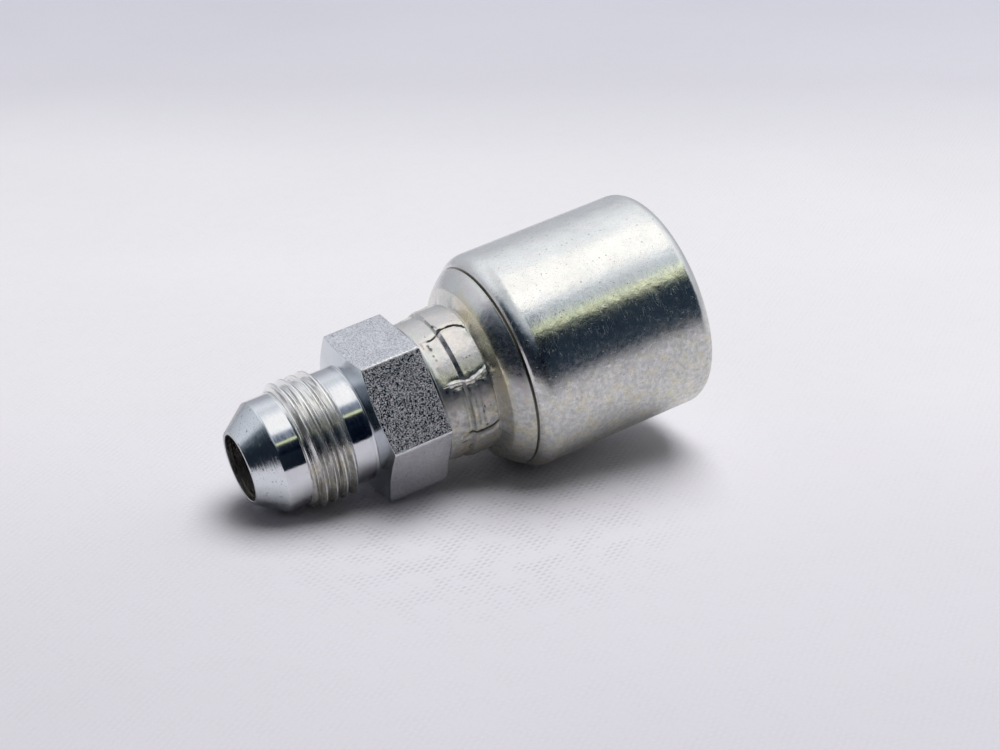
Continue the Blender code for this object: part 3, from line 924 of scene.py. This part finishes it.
nipple_materials = {
    "cone": steel("steel_cone", (0.74, 0.77, 0.795), 0.13, rings=0.024, ring_scale=6.0, grain=0.004,
                  grain_scale=2.5, pits=0.008, pit_scale=2.2, pit_size=0.2, pit_share=2.5,
                  edge=0.6, speckle=0.5),
    "turned": steel("steel_turned", (0.69, 0.70, 0.725), 0.09, rings=0.016, ring_scale=5.0,
                    grain=0.003, grain_scale=3.0, edge=0.8, speckle=0.25),
    "thread": steel("steel_thread", (0.88, 0.875, 0.86), 0.17, rings=0.016, ring_scale=9.0,
                    grain=0.004, grain_scale=5.0, grime=0.65, underside_shade_and_wear=0.45),
    "hex_face": steel("steel_hex_face", (0.64, 0.68, 0.71), 0.14, rings=0.012, grain=0.003),
    "hex_flat": steel("steel_hex_flat", (0.81, 0.81, 0.84), 0.10, grain=0.005, grain_scale=4.0,
                      flakes=0.15, speckle=0.9),
    "neck": steel("steel_neck", (0.45, 0.45, 0.45), 0.3, rings=0.02),
    "stem": steel("steel_stem", (0.70, 0.70, 0.69), 0.25, rings=0.02),
    # The bore is painted dark: painted shade deep in the hole, with dark streaks
    "bore": steel("steel_bore", (0.18, 0.17, 0.155), 0.30, rings=0.22, ring_scale=1.6, grain=0.20,
                  grain_scale=1.6, grime=0.8),
}

# The flare's film, as colours at places s
FLARE_FILM = (
    (34.8, (1.0, 1.0, 1.0)),
    (35.7, (1.0, 0.96, 0.86)),
    (36.4, (1.0, 0.92, 0.69)),
    (37.0, (1.0, 0.94, 0.77)),
    (37.4, (0.97, 1.0, 0.97)),
    (38.2, (0.98, 0.90, 0.95)),
    (39.0, (1.0, 0.99, 0.96)),
)

shell_materials = {
    "collar": steel("steel_collar", (0.70, 0.68, 0.64), 0.28, grain=0.012, grain_scale=2.5,
                    dents=0.05, rings=0.010, ring_scale=1.6, tint=0.4, speckle=0.3,
                    pits=0.03, pit_scale=1.4, pit_size=0.2, pit_share=3.0, underside_shade_and_wear=0.55),
    "flare": steel("steel_flare", (0.745, 0.745, 0.72), 0.24, rings=0.006, dents=0.02, tint=0.2,
                   film=FLARE_FILM, grain=0.004, grain_scale=4.0, underside_shade_and_wear=0.5),
    "barrel": steel("steel_barrel", (0.79, 0.79, 0.765), 0.19, rings=0.003, grain=0.006,
                    grain_scale=5.0, dents=0.03, pits=0.016, pit_scale=1.5, pit_size=0.17,
                    pit_share=2.0, tint=0.12, speckle=0.5, scratches=0.004, underside_shade_and_wear=0.42),
    # The groove by the rim is painted dark: painted shade in the groove, with dark streaks
    "rim": steel("steel_rim", (0.26, 0.245, 0.21), 0.32, rings=0.02, grime=0.8),
    "mouth": steel("steel_mouth", (0.66, 0.66, 0.63), 0.24, rings=0.01, tint=0.3),
    "socket": steel("steel_socket", (0.66, 0.66, 0.63), 0.32, rings=0.03, ring_scale=3.0, grime=0.15),
}

# Pieces

nipple = make_nipple(nipple_materials)
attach(nipple, "root")
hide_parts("nipple")

shell = make_shell(shell_materials)
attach(shell, "root")
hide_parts("crimp_shell")

# Floor, in metres like everything below

CAMERA_HEADING = math.radians(62.5)
# The cloth's colour with its light and shade painted in, at depths behind the origin, seen from the
# camera
CLOTH_NEAR = -0.08
CLOTH_FAR = 0.32
CLOTH_LIGHT_AND_TONES = (
    (-0.075, (0.680, 0.665, 0.720)),
    (-0.035, (0.715, 0.700, 0.755)),
    (0.03, (0.790, 0.780, 0.820)),
    (0.09, (0.815, 0.805, 0.840)),
    (0.16, (0.765, 0.758, 0.800)),
    (0.22, (0.660, 0.655, 0.720)),
    (0.30, (0.615, 0.615, 0.690)),
)
WEAVE_PITCHES = (0.00046, 0.0011)
WEAVE_TURN = 0.15
WEAVE_CENTRE = (-0.006, -0.014, 0)
FLOOR_HALF_SIZE = 4.0


def cloth():
    """Pale lavender-grey cloth, with the light on it painted into its colour: it grows paler from the
    front to just behind the fitting and darker again far back."""
    material = bpy.data.materials.new("cloth")
    graph = Graph(material)
    place = graph.add("ShaderNodeTexCoord").outputs["Object"]
    depth = graph.heading(graph.split(place), CAMERA_HEADING)
    share = graph.remap(depth, CLOTH_NEAR, CLOTH_FAR, kind="LINEAR")
    span = CLOTH_FAR - CLOTH_NEAR
    tone = graph.ramp(share, [((behind - CLOTH_NEAR) / span, tone) for behind, tone in CLOTH_LIGHT_AND_TONES])
    warm = graph.remap(graph.noise(place, 9.0, 3.0), 0.35, 0.65, 0.985, 1.015)
    tone = graph.mix(1.0, tone, warm, "MULTIPLY")
    normal = graph.bump(graph.noise(place, 900.0, 4.0, 0.6), 0.00015, strength=0.4)
    turn = (0, 0, CAMERA_HEADING + WEAVE_TURN)
    turned = graph.add("ShaderNodeMapping", {"Vector": place, "Rotation": turn})
    weave = graph.split(turned.outputs[0])
    rows = []
    for k, pitch in enumerate(WEAVE_PITCHES):
        rows.append(graph.math("SINE", graph.times(weave[k], math.pi / pitch)))
    worn = graph.remap(graph.noise(place, 260.0, 3.0, 0.6), 0.35, 0.65, 0.1, 1.0)
    dimple = graph.times(graph.times(rows[0], rows[1]), worn)
    normal = graph.bump(dimple, 0.00003, normal)
    # Painted shade: the weave's dimples are darkened in colour, most close to the fitting, where its
    # shadow falls
    apart = graph.add("ShaderNodeVectorMath", {0: place, 1: WEAVE_CENTRE}, operation="DISTANCE")
    reach = graph.remap(apart.outputs["Value"], 0.016, 0.038, 0.20, 0.008)
    shade = graph.math("SUBTRACT", 1.0, graph.times(graph.remap(dimple, 0.0, 0.8), reach))
    tone = graph.mix(1.0, tone, shade, "MULTIPLY")
    inputs = {"Base Color": tone, "Normal": normal, "Roughness": 0.9, "Specular IOR Level": 0.2}
    graph.finish(graph.add("ShaderNodeBsdfPrincipled", inputs))
    return material


def make_floor():
    mesh = bpy.data.meshes.new("floor")
    half = FLOOR_HALF_SIZE
    corners = [(-half, -half, 0), (half, -half, 0), (half, half, 0), (-half, half, 0)]
    mesh.from_pydata(corners, [], [(0, 1, 2, 3)])
    mesh.materials.append(cloth())
    return add_object("floor", mesh)


make_floor()

# Camera, solved from the outlines in the photo

CAMERA_PLACE = (-0.127446, -0.257063, 0.134444)
CAMERA_TILT = math.radians(67.4076)
CAMERA_TURN = math.radians(-27.5038)

scene = bpy.context.scene
scene.view_settings.view_transform = "Standard"

camera = add_object("camera", bpy.data.cameras.new("camera"))
camera.data.lens = 77.16
camera.data.sensor_width = 36
camera.location = CAMERA_PLACE
camera.rotation_euler = Euler((CAMERA_TILT, 0, CAMERA_TURN))
scene.camera = camera

# Studio light: a pale room, a dark screen behind the camera, and a softbox overhead

CAMERA_SIDE = CAMERA_HEADING - math.pi
RIGHT_OF_CAMERA = CAMERA_SIDE + math.pi / 2
SCREEN = (0.001, 0.003, 0.010)
DIM_SCREEN = (0.020, 0.036, 0.058)
LEFT_SCREEN = (0.012, 0.018, 0.028)
FAR_LEFT_SCREEN = (0.27, 0.27, 0.27)
SCREEN_HEIGHT = 0.04
SCREEN_STEPS = 24
BACKDROP = (0.63, 0.63, 0.70, 1)
# The softbox as it is mirrored: its light, and its size and centre one metre up
SOFTBOX = (1.32, 1.305, 1.28, 1)
SOFTBOX_DEPTH = 0.785
SOFTBOX_WIDTH = 0.44
SOFTBOX_RIGHT = 0.13
SOFTBOX_BLUR = 0.012
# The lamp that lights the cloth, a little from behind and from the right
LAMP_BACK = 0.25
LAMP_RIGHT = 0.35
LAMP_HEIGHT = 2.0
LAMP_WIDTH = 3.0 * SOFTBOX_WIDTH
LAMP_DEPTH = 2.6 * SOFTBOX_DEPTH
LAMP_POWER = 45.8

# What the metal mirrors on each side of the fitting, by elevation in degrees
FAR_SIDE = (
    (0, (0.52, 0.54, 0.59)),
    (22, (0.60, 0.62, 0.67)),
    (38, (0.86, 0.89, 0.95)),
    (52, (1.02, 1.05, 1.10)),
    (68, (1.08, 1.11, 1.16)),
    (89, (1.08, 1.11, 1.16)),
)
IN_FRONT = (
    (0, LEFT_SCREEN),
    (12, LEFT_SCREEN),
    (20, (0.012, 0.020, 0.032)),
    (25, (0.020, 0.032, 0.048)),
    (30, (0.060, 0.082, 0.112)),
    (37, (0.23, 0.27, 0.32)),
    (41, (0.33, 0.36, 0.41)),
    (46, (0.50, 0.54, 0.59)),
    (53, (0.66, 0.70, 0.76)),
    (64, (0.80, 0.84, 0.90)),
    (89, (0.85, 0.90, 0.96)),
)
BESIDE = (
    (0, SCREEN),
    (41.4, SCREEN),
    (42.6, (0.84, 0.92, 0.50)),
    (45.6, (0.86, 0.94, 0.60)),
    (47.4, (0.03, 0.05, 0.10)),
    (57, (0.07, 0.10, 0.18)),
    (63, (0.36, 0.41, 0.50)),
    (66.5, (0.75, 0.80, 0.87)),
    (89, (0.80, 0.85, 0.92)),
)
TO_THE_RIGHT = (
    (0, DIM_SCREEN),
    (39.5, DIM_SCREEN),
    (42.0, (1.08, 1.14, 0.78)),
    (48.5, (1.10, 1.16, 0.88)),
    (51.5, (0.62, 0.68, 0.76)),
    (64, (0.80, 0.86, 0.94)),
    (69, (1.05, 1.10, 1.15)),
    (89, (1.08, 1.11, 1.16)),
)


def studio_world():
    """The room's light. Reflections show the room and its softbox, the cloth takes a soft sky, and
    the camera sees a plain backdrop."""
    world = bpy.data.worlds.new("studio")
    scene.world = world
    graph = Graph(world)
    parts = graph.split(graph.add("ShaderNodeTexCoord").outputs["Generated"])
    towards = graph.heading(parts, CAMERA_SIDE)
    right = graph.heading(parts, RIGHT_OF_CAMERA)
    level = graph.math("SUBTRACT", 1.0, graph.times(parts[2], parts[2]))
    level = graph.math("SQRT", graph.math("MAXIMUM", level, 1e-6))
    facing = graph.math("DIVIDE", towards, level)
    height = graph.math("DIVIDE", graph.math("ARCSINE", parts[2]), math.pi / 2)
    bearing = graph.math("DIVIDE", graph.math("ARCTAN2", right, towards), math.pi / 180)

    def side(stops, upward=height):
        return graph.ramp(upward, [(degrees / 90, colour) for degrees, colour in stops])

    # Far to the left the dark screen ends 11 degrees lower
    beyond = graph.plus(height, graph.remap(bearing, -78, -66, 11 / 90, 0.0))
    near_side = graph.mix(graph.remap(bearing, 24, 31), side(IN_FRONT, beyond), side(BESIDE))
    near_side = graph.mix(graph.remap(bearing, 42, 47), near_side, side(TO_THE_RIGHT))
    light = graph.mix(graph.remap(facing, 0.10, 0.30), side(FAR_SIDE), near_side)

    # The room is a little darker overhead to the left of the softbox
    above = graph.math("MAXIMUM", parts[2], 0.01)
    across = graph.math("DIVIDE", right, above)
    shaded = graph.times(graph.remap(across, -0.20, -0.09, 1.0, 0.0), graph.remap(height, 0.5, 0.68))
    light = graph.mix(graph.times(shaded, 0.22), light, (0, 0, 0, 1))

    def inside(value, centre, half):
        off = graph.math("ABSOLUTE", graph.math("SUBTRACT", value, centre))
        return graph.remap(off, half - SOFTBOX_BLUR, half + SOFTBOX_BLUR, 1.0, 0.0)

    box = graph.times(
        inside(graph.math("DIVIDE", towards, above), 0.0, SOFTBOX_DEPTH / 2),
        inside(across, SOFTBOX_RIGHT, SOFTBOX_WIDTH / 2),
    )
    light = graph.mix(box, light, SOFTBOX)

    # The cloth takes its light mostly from above, from behind and from the right
    soft = graph.times(
        graph.remap(height, 0.0, 0.65, 0.0, 0.25), graph.remap(facing, -0.7, 0.7, 1.30, 0.25)
    )
    rightness = graph.math("DIVIDE", right, level)
    soft = graph.times(soft, graph.remap(rightness, -0.8, 0.8, 0.2, 1.9))
    rays = graph.add("ShaderNodeLightPath").outputs
    seen = graph.mix(rays["Is Glossy Ray"], soft, light)
    seen = graph.mix(rays["Is Camera Ray"], seen, BACKDROP)
    graph.finish(graph.add("ShaderNodeBackground", {"Color": seen}), "ShaderNodeOutputWorld")


def screen_radius(bearing):
    """How far the screen's foot stands from the fitting: closest just left of the camera."""
    closer = 0.04 * smooth(bearing, -50, -24) - 0.02 * smooth(bearing, -14, 8)
    return float(0.10 - closer + 0.075 * smooth(bearing, 46, 54))


def make_screen(name, first, last, colour):
    """The foot of the dark screen between two bearings in degrees, seen only in reflections: it
    hides the floor behind it."""
    material = bpy.data.materials.new(name)
    graph = Graph(material)
    graph.finish(graph.add("ShaderNodeEmission", {"Color": (*colour, 1)}))
    points, faces = [], []
    for step in range(SCREEN_STEPS + 1):
        bearing = first + (last - first) * step / SCREEN_STEPS
        radius = screen_radius(bearing)
        angle = CAMERA_SIDE + math.radians(bearing)
        x, y = radius * math.cos(angle), radius * math.sin(angle)
        points += [(x, y, 0), (x, y, SCREEN_HEIGHT)]
        if step:
            k = 2 * step
            faces.append((k - 2, k, k + 1, k - 1))
    mesh = bpy.data.meshes.new(name)
    mesh.from_pydata(points, [], faces)
    mesh.materials.append(material)
    screen = add_object(name, mesh)
    screen.visible_camera = False
    screen.visible_diffuse = False
    screen.visible_shadow = False
    return screen


def add_lamp():
    """The lamp that lights the cloth. The metal doesn't mirror it."""
    data = bpy.data.lights.new("softbox", "AREA")
    data.shape = "RECTANGLE"
    data.size = LAMP_WIDTH
    data.size_y = LAMP_DEPTH
    data.energy = LAMP_POWER
    lamp = add_object("softbox", data)
    lamp.location = (
        -LAMP_BACK * math.cos(CAMERA_SIDE) + LAMP_RIGHT * math.cos(RIGHT_OF_CAMERA),
        -LAMP_BACK * math.sin(CAMERA_SIDE) + LAMP_RIGHT * math.sin(RIGHT_OF_CAMERA),
        LAMP_HEIGHT,
    )
    lamp.rotation_euler = (0, 0, RIGHT_OF_CAMERA)
    lamp.visible_glossy = False


studio_world()
make_screen("screen_far_left", -78, -64, FAR_LEFT_SCREEN)
make_screen("screen_left", -64, 20, LEFT_SCREEN)
make_screen("screen_middle", 20, 44, SCREEN)
make_screen("screen_right", 44, 78, DIM_SCREEN)

add_lamp()
